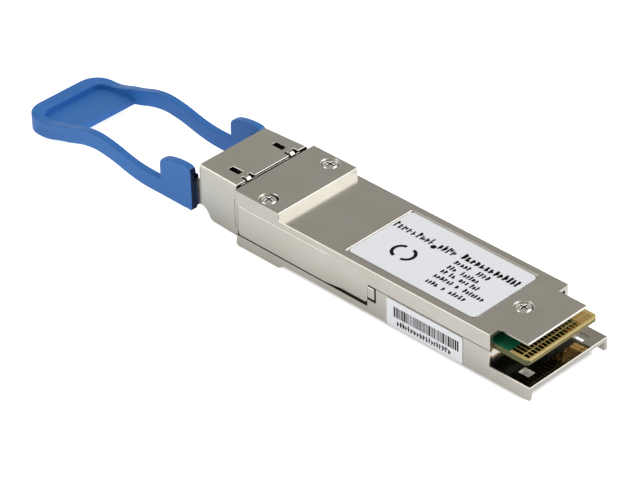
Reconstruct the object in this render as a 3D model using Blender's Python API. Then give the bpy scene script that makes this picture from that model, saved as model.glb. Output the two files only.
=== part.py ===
"""A pluggable fibre-optic transceiver module with a duplex receptacle, a sliding latch and a pull tab.

+X runs from the pull tab to the card-edge contacts, +Z points up to the labelled face. The origin is
on the flat bottom face, on the middle plane, 22 mm in front of the end of the side walls.
Sizes are in millimetres and become metres when a mesh is made.
"""

import math

import bmesh
import bpy

MM = 0.001

# The module's body.
HALF_WIDTH = 9.175
HEIGHT = 8.5
HEAD_HEIGHT = 9.9
HEAD_FRONT = -33.7
HEAD_REAR = -23.6
NOSE_FRONT = -43.2
TAIL = 22.0
SPLIT_LOW = 5.40
SPLIT_HIGH = 5.52
NOSE_HALF_WIDTH = 6.9
NOSE_TOP = 9.35
FLOOR = 0.9
ROOF = 7.7
CAVITY_HALF_WIDTH = 7.4
CAVITY_START = -20.4
CAVITY_END = 20.4
OPTICS_HALF_WIDTH = 6.0
OPTICS_START = -33.5
OPTICS_ROOF = 9.1
CARD_SPACE_HALF_WIDTH = 8.3
CARD_SPACE_START = 14.0

# The plate and the tongue that guard the contacts.
PLATE_END = 30.2
PLATE_LOW = 1.7
PLATE_TOP = 2.55
FLANGE_THICKNESS = 0.7
TONGUE_END = 27.9
TONGUE_HALF_WIDTH = 6.9
TONGUE_LOW = 8.1

# The latch slider, a stamped sheet that wraps the nose and runs back along both sides.
SHEET = 0.4
SHELL_FRONT = -43.5
SHELL_REAR = -34.3
SHELL_FRONT_TOP = 9.95
SHELL_REAR_TOP = 10.1
SHELL_BOTTOM = -0.5
SHELL_FRONT_HALF_WIDTH = 7.85
SHELL_REAR_HALF_WIDTH = 8.25
SHELL_BEND = 0.6
SHELL_HEM = 0.55
SHELL_HEM_INSET = 0.52
ARM_OUTSIDE = HALF_WIDTH - 0.02
ARM_LOW = 1.43
ARM_TOP = 7.13
ARM_START = -33.0
JOGGLE_START = -13.4
JOGGLE_END = -10.2
JOGGLE_DEPTH = 0.35
ARM_END = -4.3
TIP_END = -2.6
TIP_LOW = 2.9
TIP_TOP = 5.0
TIP_RISE = 0.24
EAR_FRONT = -46.4
EAR_LOW = 2.0
EAR_TOP = 6.9
SPRING_Y = 5.03
TAB_HALF_WIDTH = 0.5
TAB_BEND = 0.8

# The pockets that the arms lie in.
RECESS_LOW = 1.25
RECESS_TOP = 7.25
RECESS_FLOOR = 8.70
DEEP_FLOOR = 8.36
DEEP_START = -16.2
RECESS_END = -4.0
TIP_POCKET_FLOOR = 7.85
TIP_POCKET_START = -6.9
TIP_POCKET_END = -2.15
TIP_POCKET_LOW = 2.65

# The duplex receptacle and the optics behind it.
PORT_Y = 3.125
AXIS_Z = 4.4
PORT_HALF = 2.33
LATCH_SLOT_HALF = 1.4
LATCH_SLOT_TOP = 8.6
PORT_FRONT = -43.1
PORT_BACK = -34.9
RECEPTACLE_REAR = -33.6
BARREL_FRONT = -38.5

# The circuit board.
BOARD_LOW = 5.45
BOARD_TOP = 6.45
BOARD_FRONT = -13.0
BOARD_END = 29.0
BOARD_STEP = 15.0
BOARD_HALF_WIDTH = 7.3
CARD_HALF_WIDTH = 8.2
CARD_CHAMFER = 0.6
CARD_BEVEL = 0.22

# The pull tab.
TAB_OUTSIDE = 8.9
TAB_ARM = 1.36
TAB_HALF_HEIGHT = 1.55
TAB_END = -87.55
TAB_CORNER = 4.0
LUG_REAR = -44.6
LUG_LOW = 0.6
LOOP_END = -76.5
TRAY_END = -84.8
TRAY_HALF_WIDTH = 7.1
TRAY_CORNER = 2.0
# The tray's floor, seen from the side, from the finger loop to the grip's end.
TRAY_FLOOR = ((-75.0, 1.92), (-86.0, 0.8))
# The tab's middle line, seen from the side: level at the lugs, then up and over, and down to a flat grip.
TAB_LINE = ((-52.0, 2.15), (-56.5, 2.15), (-60.0, 2.6), (-64.0, 3.5), (-68.0, 3.95),
            (-71.5, 3.5), (-75.0, 2.4), (-77.5, 1.72), (-80.2, 0.85), (-82.0, 0.5), (-84.0, 0.4))
GRIP_LEVEL = 0.4
# The top of a lug, seen from the side, from its front face to its rear face.
LUG_CURVE = ((-52.15, 6.6), (-52.05, 7.35), (-51.65, 7.88), (-50.8, 8.36), (-49.5, 8.75), (-47.8, 9.02),
             (-46.2, 9.1), (-45.3, 9.02), (-44.8, 8.72), (LUG_REAR, 8.1))

# The screws: two in the head and one at the tail.
SCREW_HEAD_RADIUS = 1.4
SCREW_HEAD_HEIGHT = 0.8
SCREW_SHANK_RADIUS = 0.7
SCREW_SEAT_RADIUS = 1.58
HEAD_SCREW_X = -27.9
HEAD_SCREW_Y = 7.1
TAIL_SCREW_X = 20.84

# The labels.
LABEL_X = (-9.78, 17.2)
LABEL_HALF_WIDTH = 7.45
LABEL_CORNERS = (0.75, 0.9)
LABEL_RECESS_X = (-10.0, 17.55)
LABEL_RECESS_HALF_WIDTH = 7.82
SIDE_LABEL_X = (0.35, 16.5)
SIDE_LABEL_Z = (0.2, 5.25)

CLEARANCE = 0.05
LONG = 60.0


def clear_scene():
    for old in list(bpy.data.objects):
        bpy.data.objects.remove(old, do_unlink=True)


def material(name, color, roughness, metallic=0.0):
    made = bpy.data.materials.new(name)
    made.use_nodes = True
    shader = made.node_tree.nodes["Principled BSDF"]
    shader.inputs["Base Color"].default_value = (*color, 1.0)
    shader.inputs["Roughness"].default_value = roughness
    shader.inputs["Metallic"].default_value = metallic
    made.diffuse_color = (*color, 1.0)
    return made


def add_object(name, mesh_data, finish=None, smooth=False):
    mesh = bpy.data.meshes.new(name)
    bmesh.ops.recalc_face_normals(mesh_data, faces=mesh_data.faces)
    mesh_data.to_mesh(mesh)
    mesh_data.free()
    made = bpy.data.objects.new(name, mesh)
    bpy.context.scene.collection.objects.link(made)
    if finish is None:
        made.hide_render = True
        made.display_type = "WIRE"
    else:
        mesh.materials.append(finish)
    if smooth:
        mesh.shade_smooth()
        mesh.set_sharp_from_angle(angle=math.radians(35))
    return made


def place(axis, first, second, along):
    """A point of an outline, with the two outline directions in X, Y, Z order around the given axis."""
    ordered = {"X": (along, first, second), "Y": (first, along, second), "Z": (first, second, along)}
    return tuple(value * MM for value in ordered[axis])


def prism(name, outline, axis, low, high, finish=None, smooth=False):
    """A flat outline extruded along an axis from low to high."""
    shape = bmesh.new()
    corners = [shape.verts.new(place(axis, first, second, low)) for first, second in outline]
    face = shape.faces.new(corners)
    raised = bmesh.ops.extrude_face_region(shape, geom=[face])
    tops = [item for item in raised["geom"] if isinstance(item, bmesh.types.BMVert)]
    move = [MM * (high - low) if letter == axis else 0.0 for letter in "XYZ"]
    bmesh.ops.translate(shape, verts=tops, vec=move)
    return add_object(name, shape, finish, smooth)


def box(name, x, y, z, finish=None):
    """A block between two values on each axis."""
    outline = [(x[0], y[0]), (x[1], y[0]), (x[1], y[1]), (x[0], y[1])]
    return prism(name, outline, "Z", z[0], z[1], finish)


def loft(name, rings, finish=None, smooth=False):
    """A closed solid through rings of points that all have the same count."""
    shape = bmesh.new()
    rows = [[shape.verts.new([value * MM for value in point]) for point in ring] for ring in rings]
    shape.faces.new(rows[0])
    shape.faces.new(rows[-1])
    for this_row, next_row in zip(rows, rows[1:]):
        for index in range(len(this_row)):
            after = (index + 1) % len(this_row)
            shape.faces.new((this_row[index], this_row[after], next_row[after], next_row[index]))
    return add_object(name, shape, finish, smooth)


def turned(name, profile, origin, axis, finish=None, sides=24):
    """A round solid. The profile holds (distance along the axis, radius) from its first end to its last."""
    shape = bmesh.new()
    rows = []
    for along, radius in profile:
        angles = [2 * math.pi * step / sides for step in range(sides)]
        ring = [(radius * math.cos(angle), radius * math.sin(angle)) for angle in angles]
        if axis == "X":
            points = [(origin[0] + along, origin[1] + u, origin[2] + v) for u, v in ring]
        else:
            points = [(origin[0] + u, origin[1] + v, origin[2] + along) for u, v in ring]
        rows.append([shape.verts.new([value * MM for value in point]) for point in points])
    shape.faces.new(rows[0])
    shape.faces.new(rows[-1])
    for this_row, next_row in zip(rows, rows[1:]):
        for index in range(sides):
            after = (index + 1) % sides
            shape.faces.new((this_row[index], this_row[after], next_row[after], next_row[index]))
    return add_object(name, shape, finish, smooth=True)


def combine(target, operation, *others):
    for other in others:
        step = target.modifiers.new(f"{operation.lower()} {other.name}", "BOOLEAN")
        step.operation = operation
        step.solver = "EXACT"
        step.object = other


def cut(target, *cutters):
    combine(target, "DIFFERENCE", *cutters)


def add(target, *pieces):
    combine(target, "UNION", *pieces)


def keep(target, *limits):
    combine(target, "INTERSECT", *limits)


def arc(centre, radius, start, end, steps):
    """Points on an arc between two angles in degrees, both ends included."""
    points = []
    for step in range(steps + 1):
        angle = math.radians(start + (end - start) * step / steps)
        points.append((centre[0] + radius * math.cos(angle), centre[1] + radius * math.sin(angle)))
    return points


def rounded_rectangle(first, second, radius, steps=4):
    """A rectangle between two pairs of values, with round corners."""
    (low, high), (bottom, top) = first, second
    return [
        *arc((high - radius, bottom + radius), radius, -90, 0, steps),
        *arc((high - radius, top - radius), radius, 0, 90, steps),
        *arc((low + radius, top - radius), radius, 90, 180, steps),
        *arc((low + radius, bottom + radius), radius, 180, 270, steps),
    ]


def smooth_line(points, steps):
    """A smooth curve through the points, as a list with the given steps on each span."""
    padded = [points[0], *points, points[-1]]
    line = []
    for before, start, end, after in zip(padded, padded[1:], padded[2:], padded[3:]):
        for step in range(steps):
            t = step / steps
            line.append(tuple(
                0.5 * (2 * b + (c - a) * t + (2 * a - 5 * b + 4 * c - d) * t * t
                       + (3 * b - a - 3 * c + d) * t ** 3)
                for a, b, c, d in zip(before, start, end, after)))
    return [*line, points[-1]]


def both_sides(side, low, high):
    """A range of distances from the middle plane, as a range of Y on one side."""
    return (low, high) if side > 0 else (-high, -low)


SIDES = (("left", 1), ("right", -1))


def arm_pockets(prefix, target, low, high):
    """Cuts the pockets for both latch arms between two heights."""
    outside = HALF_WIDTH + 1
    for label, side in SIDES:
        steps = (
            ("mouth", (HEAD_FRONT - 1, -31.6), 8.0),
            ("run", (HEAD_FRONT - 1, RECESS_END), RECESS_FLOOR),
            ("deep run", (DEEP_START, RECESS_END), DEEP_FLOOR),
        )
        for part, x, floor in steps:
            y = both_sides(side, floor, outside)
            cut(target, box(f"{prefix} {part} {label}", x, y, (low, high)))


def screw_hole(name, x, y, low, high, radius):
    return turned(name, [(0.0, radius), (high - low, radius)], (x, y, low), "Z", sides=20)


def make_bottom_housing(finish):
    body = box("bottom_housing", (HEAD_FRONT, TAIL), (-HALF_WIDTH, HALF_WIDTH), (0.0, SPLIT_LOW), finish)
    foot_low = -0.98
    foot = [
        (-33.8, 0.5), *arc((-33.4, foot_low + 0.4), 0.4, 180, 270, 4),
        *arc((-24.3, foot_low + 0.8), 0.8, 270, 350, 4), (-22.6, 0.0), (-22.6, 0.5),
    ]
    add(
        body,
        prism("stop foot", foot, "Y", -HALF_WIDTH, HALF_WIDTH),
        box("nose low", (NOSE_FRONT, HEAD_FRONT + 0.5), (-6.2, 6.2), (0.2, SPLIT_LOW)),
        box("nose wide", (NOSE_FRONT, HEAD_FRONT + 0.5), (-NOSE_HALF_WIDTH, NOSE_HALF_WIDTH), (1.7, SPLIT_LOW)),
        box("contact plate", (TAIL - 1.5, PLATE_END), (-HALF_WIDTH, HALF_WIDTH), (PLATE_LOW, PLATE_TOP)),
    )
    for label, side in SIDES:
        flange_y = both_sides(side, HALF_WIDTH - FLANGE_THICKNESS, HALF_WIDTH)
        add(body, box(f"plate flange {label}", (TAIL - 1.5, PLATE_END), flange_y, (0.0, PLATE_TOP)))
        cut(body, box(f"plate window {label}", (26.15, 28.15), both_sides(side, 5.5, 7.1), (1.0, 3.0)))
    high = SPLIT_LOW + 1
    cut(
        body,
        box("optics well", (OPTICS_START, CAVITY_START + 1), (-OPTICS_HALF_WIDTH, OPTICS_HALF_WIDTH), (FLOOR, high)),
        box("board well", (CAVITY_START, CAVITY_END), (-CAVITY_HALF_WIDTH, CAVITY_HALF_WIDTH), (FLOOR, high)),
        box("receptacle seat", (NOSE_FRONT - 1, OPTICS_START + 1), (-6.3, 6.3), (1.0, high)),
        box("end wall relief", (TAIL - 0.3, TAIL + 0.5), (-8.5, 8.5), (PLATE_TOP, high)),
    )
    arm_pockets("base pocket", body, RECESS_LOW, high)
    for label, side in SIDES:
        tip_y = both_sides(side, TIP_POCKET_FLOOR, HALF_WIDTH + 1)
        groove_y = both_sides(side, 7.85, 8.45)
        cut(
            body,
            box(f"tip pocket {label}", (TIP_POCKET_START, TIP_POCKET_END), tip_y, (TIP_POCKET_LOW, high)),
            box(f"gasket groove {label}", (-1.6, 13.6), groove_y, (5.0, high)),
            screw_hole(f"base screw hole {label}", HEAD_SCREW_X, side * HEAD_SCREW_Y, 1.2, high,
                       SCREW_SHANK_RADIUS + CLEARANCE),
        )
    post = turned("tail post", [(0.0, 1.6), (SPLIT_LOW - 0.4, 1.6)], (TAIL_SCREW_X - 1.4, 0.0, 0.4), "Z")
    add(body, post)
    cut(body, screw_hole("base tail hole", TAIL_SCREW_X, 0.0, 1.2, high, SCREW_SHANK_RADIUS + CLEARANCE))
    return body


def make_top_cover(finish):
    outline = [
        (HEAD_FRONT, SPLIT_HIGH), (TAIL, SPLIT_HIGH), (TAIL, HEIGHT), (HEAD_REAR, HEIGHT),
        (HEAD_REAR, HEAD_HEIGHT), (HEAD_FRONT, HEAD_HEIGHT),
    ]
    cover = prism("top_cover", outline, "Y", -HALF_WIDTH, HALF_WIDTH, finish)
    nose_x = (NOSE_FRONT, HEAD_FRONT + 0.5)
    add(
        cover,
        box("cover nose", nose_x, (-NOSE_HALF_WIDTH, NOSE_HALF_WIDTH), (SPLIT_HIGH, NOSE_TOP)),
        box("tongue", (TAIL - 1, TONGUE_END), (-TONGUE_HALF_WIDTH, TONGUE_HALF_WIDTH), (TONGUE_LOW, HEIGHT)),
    )
    low = SPLIT_HIGH - 1
    seat_reach = 4.3
    cut(
        cover,
        box("optics roof", (OPTICS_START, CAVITY_START - 4.4), (-OPTICS_HALF_WIDTH, OPTICS_HALF_WIDTH),
            (low, OPTICS_ROOF)),
        box("optics rear roof", (CAVITY_START - 5, CAVITY_START + 1), (-OPTICS_HALF_WIDTH, OPTICS_HALF_WIDTH),
            (low, ROOF)),
        box("board roof", (CAVITY_START, TAIL + 1), (-CAVITY_HALF_WIDTH, CAVITY_HALF_WIDTH), (low, ROOF)),
        box("card roof", (CARD_SPACE_START, TAIL + 1), (-CARD_SPACE_HALF_WIDTH, CARD_SPACE_HALF_WIDTH), (low, ROOF)),
        box("receptacle roof", (NOSE_FRONT - 1, OPTICS_START + 1), (-6.3, 6.3), (low, 7.65)),
        box("latch slot roof", (NOSE_FRONT - 1, OPTICS_START + 1), (-seat_reach, seat_reach), (low, 8.95)),
        box("rear groove", (SHELL_REAR - 0.3, HEAD_FRONT), (-7.5, 7.5), (9.0, 11.0)),
    )
    arm_pockets("cover pocket", cover, low, RECESS_TOP)
    for label, side in SIDES:
        pocket_y = both_sides(side, SPRING_Y - 0.66, SPRING_Y + 0.66)
        seat = screw_hole(f"screw seat {label}", HEAD_SCREW_X, side * HEAD_SCREW_Y, HEAD_HEIGHT - 0.9,
                          HEAD_HEIGHT + 1, SCREW_SEAT_RADIUS)
        cut(
            cover,
            box(f"spring pocket {label}", (-41.0, HEAD_FRONT), pocket_y, (8.02, 11.0)),
            seat,
            screw_hole(f"cover screw hole {label}", HEAD_SCREW_X, side * HEAD_SCREW_Y, low, HEAD_HEIGHT,
                       SCREW_SHANK_RADIUS + CLEARANCE),
        )
    boss = turned("tail boss", [(0.0, 2.0), (1.5, 2.0)], (TAIL_SCREW_X - 1.0, 0.0, BOARD_TOP + 0.05), "Z")
    add(cover, boss)
    (front, rear), reach = LABEL_RECESS_X, LABEL_RECESS_HALF_WIDTH
    recess = [
        *arc((rear - 1.1, 1.1 - reach), 1.1, -90, 0, 4), *arc((rear - 1.1, reach - 1.1), 1.1, 0, 90, 4),
        *arc((front + 0.3, reach - 0.3), 0.3, 90, 180, 2), *arc((front + 0.3, 0.3 - reach), 0.3, 180, 270, 2),
    ]
    cut(
        cover,
        screw_hole("tail screw seat", TAIL_SCREW_X, 0.0, HEIGHT - 0.9, HEIGHT + 1, SCREW_SEAT_RADIUS),
        screw_hole("cover tail hole", TAIL_SCREW_X, 0.0, low, HEIGHT, SCREW_SHANK_RADIUS + CLEARANCE),
        prism("label recess", recess, "Z", HEIGHT - 0.22, HEIGHT + 1),
    )
    return cover


def shell_ring(x, half_width, top):
    """The slider's inverted U at one place along its nose, as one closed outline."""
    outer, inner = [], []
    for points, inset in ((outer, 0.0), (inner, SHEET)):
        wide, bend = half_width - inset, SHELL_BEND - inset
        centre = (wide - bend, top - inset - bend)
        points += [(wide - SHELL_HEM_INSET, SHELL_BOTTOM), (wide, SHELL_HEM), *arc(centre, bend, 0, 90, 4)]
        points += [(-y, z) for y, z in reversed(points)]
    return [(x, y, z) for y, z in outer + inner[::-1]]


def arm_outline(side):
    """One side arm seen from above, a strip of sheet with its bends."""
    outside = [
        (SHELL_REAR - 0.6, SHELL_REAR_HALF_WIDTH - 0.02), (SHELL_REAR + 0.05, SHELL_REAR_HALF_WIDTH),
        (ARM_START, ARM_OUTSIDE), (JOGGLE_START, ARM_OUTSIDE),
        (JOGGLE_END, ARM_OUTSIDE - JOGGLE_DEPTH), (ARM_END + 0.05, ARM_OUTSIDE - JOGGLE_DEPTH),
        (ARM_END + 0.35, ARM_OUTSIDE - JOGGLE_DEPTH + TIP_RISE), (TIP_END, ARM_OUTSIDE - JOGGLE_DEPTH + TIP_RISE),
    ]
    inside = [(x, y - SHEET) for x, y in reversed(outside)]
    return [(x, side * y) for x, y in outside + inside]


def arm_profile():
    """The arm seen from the side, narrowed to its latch tip at the end."""
    return [
        (SHELL_REAR - 1.0, ARM_LOW), (ARM_END - 0.5, ARM_LOW), (ARM_END, ARM_LOW + 0.5), (ARM_END, TIP_LOW),
        (TIP_END + 1, TIP_LOW), (TIP_END + 1, TIP_TOP), (ARM_END, TIP_TOP), (ARM_END, ARM_TOP - 0.4),
        (ARM_END - 0.4, ARM_TOP), (SHELL_REAR - 1.0, ARM_TOP),
    ]


def spring_tab_outline():
    """A spring tab seen from the side, a tongue of sheet that bends down at the shell's rear edge."""
    top = SHELL_REAR_TOP - 0.02
    centre = (SHELL_REAR - TAB_BEND, top - TAB_BEND)
    return [
        (centre[0] - 0.15, top), *arc(centre, TAB_BEND, 90, 0, 5), (SHELL_REAR, 8.15),
        (SHELL_REAR - SHEET, 8.15), *arc(centre, TAB_BEND - SHEET, 0, 90, 5), (centre[0] - 0.15, top - SHEET),
    ]


def make_latch_slider(finish):
    front_ring = shell_ring(SHELL_FRONT, SHELL_FRONT_HALF_WIDTH, SHELL_FRONT_TOP)
    rear_ring = shell_ring(SHELL_REAR, SHELL_REAR_HALF_WIDTH, SHELL_REAR_TOP)
    slider = loft("latch_slider", [front_ring, rear_ring], finish)
    corner, bend = (SHELL_FRONT, -0.1), 2.25
    nose_cut = [(SHELL_FRONT - 1, -1.0), (corner[0] + bend, -1.0), *arc(corner, bend, 0, 90, 6),
                (SHELL_FRONT - 1, corner[1] + bend)]
    cut(slider, prism("nose corner cut", nose_cut, "Y", -LONG, LONG))
    for label, side in SIDES:
        arm = prism(f"arm {label}", arm_outline(side), "Z", 0.0, HEIGHT)
        keep(arm, prism(f"arm profile {label}", arm_profile(), "Y", -LONG, LONG))
        ear_y = both_sides(side, SHELL_FRONT_HALF_WIDTH - SHEET, SHELL_FRONT_HALF_WIDTH)
        tab_y = (side * SPRING_Y - TAB_HALF_WIDTH, side * SPRING_Y + TAB_HALF_WIDTH)
        add(
            slider,
            arm,
            box(f"ear {label}", (EAR_FRONT, SHELL_FRONT + 0.3), ear_y, (EAR_LOW, EAR_TOP)),
        )
        for edge in (-1, 1):
            notch_y = sorted((side * SPRING_Y + edge * TAB_HALF_WIDTH, side * SPRING_Y + edge * 1.05))
            cut(slider, box(f"relief {label} {edge}", (SHELL_REAR - 1.2, SHELL_REAR + 1), notch_y, (8.0, 11.0)))
        cut(slider, box(f"tab root {label}", (SHELL_REAR - TAB_BEND, SHELL_REAR + 1), tab_y, (8.0, 11.0)))
        add(slider, prism(f"spring tab {label}", spring_tab_outline(), "Y", *tab_y))
        window_y = both_sides(side, 4.45, 5.6)
        cut(slider, box(f"window {label}", (-38.95, -36.45), window_y, (9.0, 11.0)))
    return slider


def tab_side_profile(line, low, high):
    """The outline between two offsets below and above the tab's middle line."""
    return [*((x, z + low) for x, z in line), *((x, z + high) for x, z in reversed(line))]


def make_pull_tab(finish):
    line = [(-46.0, 2.15), *smooth_line(TAB_LINE, 4), (TAB_END - 1, GRIP_LEVEL)]
    side_profile = tab_side_profile(line, -TAB_HALF_HEIGHT, TAB_HALF_HEIGHT)
    tab = prism("pull_tab", side_profile, "Y", -TAB_OUTSIDE, TAB_OUTSIDE, finish)
    plan = [
        (-40.0, TAB_OUTSIDE), *arc((TAB_END + TAB_CORNER, TAB_OUTSIDE - TAB_CORNER), TAB_CORNER, 90, 180, 6),
        *arc((TAB_END + TAB_CORNER, TAB_CORNER - TAB_OUTSIDE), TAB_CORNER, 180, 270, 6), (-40.0, -TAB_OUTSIDE),
    ]
    keep(tab, prism("tab plan", plan, "Z", -20.0, 20.0))
    inside = TAB_OUTSIDE - TAB_ARM
    loop = rounded_rectangle((LOOP_END, -30.0), (-inside, inside), 0.3, steps=2)
    tray_side = [*TRAY_FLOOR, (TRAY_FLOOR[1][0], 9.0), (TRAY_FLOOR[0][0], 9.0)]
    tray_space = prism("tray space", tray_side, "Y", -inside, inside)
    turn = (TRAY_END + TRAY_CORNER, TRAY_HALF_WIDTH - TRAY_CORNER)
    tray_plan = [
        (LOOP_END + 1, inside - 0.02), *arc(turn, TRAY_CORNER, 90, 180, 4),
        *arc((turn[0], -turn[1]), TRAY_CORNER, 180, 270, 4), (LOOP_END + 1, 0.02 - inside),
    ]
    keep(tray_space, prism("tray plan", tray_plan, "Z", -20.0, 20.0))
    cut(tab, prism("finger loop", loop, "Z", -20.0, 20.0), tray_space)
    lug_front = LUG_CURVE[0][0]
    lug = [(lug_front, LUG_LOW + 0.6), *arc((LUG_REAR - 0.5, LUG_LOW + 0.5), 0.5, 270, 360, 3), *LUG_CURVE[::-1]]
    for label, side in SIDES:
        pad_y = both_sides(side, 6.95, inside + 0.3)
        slot_y = both_sides(side, 7.40, 7.90)
        add(
            tab,
            prism(f"lug {label}", lug, "Y", *both_sides(side, inside, TAB_OUTSIDE)),
            box(f"lug pad {label}", (-46.9, LUG_REAR), pad_y, (1.2, 7.2)),
        )
        cut(tab, box(f"ear slot {label}", (EAR_FRONT - 0.1, LUG_REAR + 1), slot_y, (EAR_LOW - 0.1, EAR_TOP + 0.1)))
    return tab


def make_return_spring(name, side, finish):
    """A coil spring with closed ends, as one thick helix tube."""
    start, end = -40.94, -34.76
    turns, radius, wire = 8, 0.46, 0.11
    steps = turns * 10
    curve = bpy.data.curves.new(name, "CURVE")
    curve.dimensions = "3D"
    curve.bevel_depth = wire * MM
    curve.bevel_resolution = 1
    curve.use_fill_caps = True
    spline = curve.splines.new("POLY")
    spline.points.add(steps)
    for index, point in enumerate(spline.points):
        share = index / steps
        angle = 2 * math.pi * turns * share
        x = start + wire + (end - start - 2 * wire) * share
        y = side * SPRING_Y + radius * math.cos(angle)
        z = 8.65 + radius * math.sin(angle)
        point.co = (x * MM, y * MM, z * MM, 1.0)
    made = bpy.data.objects.new(name, curve)
    curve.materials.append(finish)
    bpy.context.scene.collection.objects.link(made)
    return made


def make_receptacle(finish):
    outline = [
        (-6.25, 1.05), (6.25, 1.05), (6.25, 7.6), (4.25, 7.6), (4.25, 8.9), (-4.25, 8.9), (-4.25, 7.6), (-6.25, 7.6),
    ]
    block = prism("lc_receptacle", outline, "X", PORT_FRONT, RECEPTACLE_REAR, finish)
    for label, side in SIDES:
        centre = side * PORT_Y
        port_y = (centre - PORT_HALF, centre + PORT_HALF)
        slot_centre = side * (PORT_Y - 0.5)
        slot_y = (slot_centre - LATCH_SLOT_HALF, slot_centre + LATCH_SLOT_HALF)
        hole = turned(f"ferrule hole {label}", [(0.0, 1.4), (4.0, 1.4)], (PORT_BACK - 1, centre, AXIS_Z), "X")
        cut(
            block,
            box(f"port {label}", (PORT_FRONT - 1, PORT_BACK), port_y, (AXIS_Z - PORT_HALF, AXIS_Z + PORT_HALF)),
            box(f"latch slot {label}", (PORT_FRONT - 1, PORT_BACK + 0.4), slot_y, (AXIS_Z, LATCH_SLOT_TOP)),
            hole,
        )
    return block


def make_barrel(name, side, finish):
    centre = (BARREL_FRONT, side * PORT_Y, AXIS_Z)
    bore_radius, bore_depth = 0.84, 4.5
    profile = [
        (bore_depth, bore_radius), (0.0, bore_radius), (0.0, 1.2), (0.15, 1.35), (5.2, 1.35), (5.2, 2.1),
        (6.1, 2.1), (6.1, 1.7), (9.9, 1.7),
    ]
    return turned(name, profile, centre, "X", finish)


def make_sleeve(name, side, finish):
    centre = (BARREL_FRONT + 0.15, side * PORT_Y, AXIS_Z)
    sleeve = turned(name, [(0.0, 0.8), (4.2, 0.8)], centre, "X", finish, sides=20)
    bore_origin = (BARREL_FRONT - 1, side * PORT_Y, AXIS_Z)
    cut(sleeve, turned(f"{name} bore", [(0.0, 0.63), (7.0, 0.63)], bore_origin, "X", sides=20))
    return sleeve


def make_optics_box(name, side, length, finish):
    centre = side * PORT_Y
    front = -28.5
    block = box(name, (front, front + length), (centre - 2.7, centre + 2.7), (2.05, 6.9), finish)
    add(block, box(f"{name} shelf", (front + length - 0.5, front + length + 0.9), (centre - 2.2, centre + 2.2),
                   (4.3, 4.8)))
    return block


def make_flex(name, side, start, finish):
    """A thin ribbon that rises from the optics box to the top of the circuit board."""
    centre, thickness = side * PORT_Y, 0.1
    route = [(start, 4.9), (start + 1.1, 4.9), (-13.75, 5.4), (-13.35, 6.25), (-12.6, 6.54), (-10.4, 6.54)]
    line = smooth_line(route, 4)
    rings = []
    for index, (x, z) in enumerate(line):
        before, after = line[max(index - 1, 0)], line[min(index + 1, len(line) - 1)]
        slope = math.atan2(after[1] - before[1], after[0] - before[0])
        dx, dz = -math.sin(slope) * thickness / 2, math.cos(slope) * thickness / 2
        low, high = (x - dx, z - dz), (x + dx, z + dz)
        rings.append([
            (low[0], centre - 2.1, low[1]), (low[0], centre + 2.1, low[1]),
            (high[0], centre + 2.1, high[1]), (high[0], centre - 2.1, high[1]),
        ])
    return loft(name, rings, finish)


def make_clamp(finish):
    clamp = box("optics_clamp", (-32.3, -31.8), (-5.9, 5.9), (1.0, 8.6), finish)
    for label, side in SIDES:
        centre = side * PORT_Y
        cut(clamp, box(f"clamp slot {label}", (-33.0, -31.0), (centre - 1.8, centre + 1.8), (0.5, AXIS_Z)))
        cut(clamp, turned(f"clamp round {label}", [(0.0, 1.8), (2.0, 1.8)], (-33.0, centre, AXIS_Z), "X"))
    return clamp


def make_circuit_board(finish):
    outline = [
        (BOARD_FRONT, -BOARD_HALF_WIDTH), (BOARD_STEP, -BOARD_HALF_WIDTH), (BOARD_STEP, -CARD_HALF_WIDTH),
        (BOARD_END - CARD_CHAMFER, -CARD_HALF_WIDTH), (BOARD_END, CARD_CHAMFER - CARD_HALF_WIDTH),
    ]
    outline += [(x, -y) for x, y in reversed(outline)]
    board = prism("circuit_board", outline, "Z", BOARD_LOW, BOARD_TOP, finish)
    cut(board, screw_hole("board screw hole", TAIL_SCREW_X, 0.0, BOARD_LOW - 1, BOARD_TOP + 1, 0.9))
    for face, outward in ((BOARD_LOW, -1), (BOARD_TOP, 1)):
        beyond, above = BOARD_END + 0.5, face + outward * 0.5
        wedge = [(BOARD_END - CARD_BEVEL - 0.5, above), (beyond, face - outward * (CARD_BEVEL + 0.5)), (beyond, above)]
        cut(board, prism(f"bevel {outward}", wedge, "Y", -LONG, LONG))
    return board


def make_chips(package, pad, ferrite):
    above, below = BOARD_TOP + CLEARANCE, BOARD_LOW - CLEARANCE
    box("retimer_chip", (-6.0, 1.0), (-3.5, 3.5), (above, 7.3), package)
    box("laser_driver_chip", (-9.6, -7.0), (-4.9, -2.3), (above, 7.2), package)
    box("receiver_amplifier_chip", (-9.6, -7.0), (2.3, 4.9), (above, 7.2), package)
    box("microcontroller_chip", (2.0, 7.0), (-2.5, 2.5), (4.5, below), package)
    box("power_inductor", (9.5, 12.5), (2.0, 5.0), (3.9, below), ferrite)
    box("retimer_thermal_pad", (-5.8, 0.8), (-3.3, 3.3), (7.33, ROOF - 0.03), pad)
    box("optics_thermal_pad", (-28.0, -17.0), (-5.6, 5.6), (FLOOR + 0.03, 2.0), pad)


def make_gasket(name, side, finish):
    outline = rounded_rectangle((7.9, 8.4), (5.05, 5.48), 0.18, steps=3)
    return prism(name, [(side * y, z) for y, z in outline], "X", -1.5, 13.5, finish)


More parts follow.
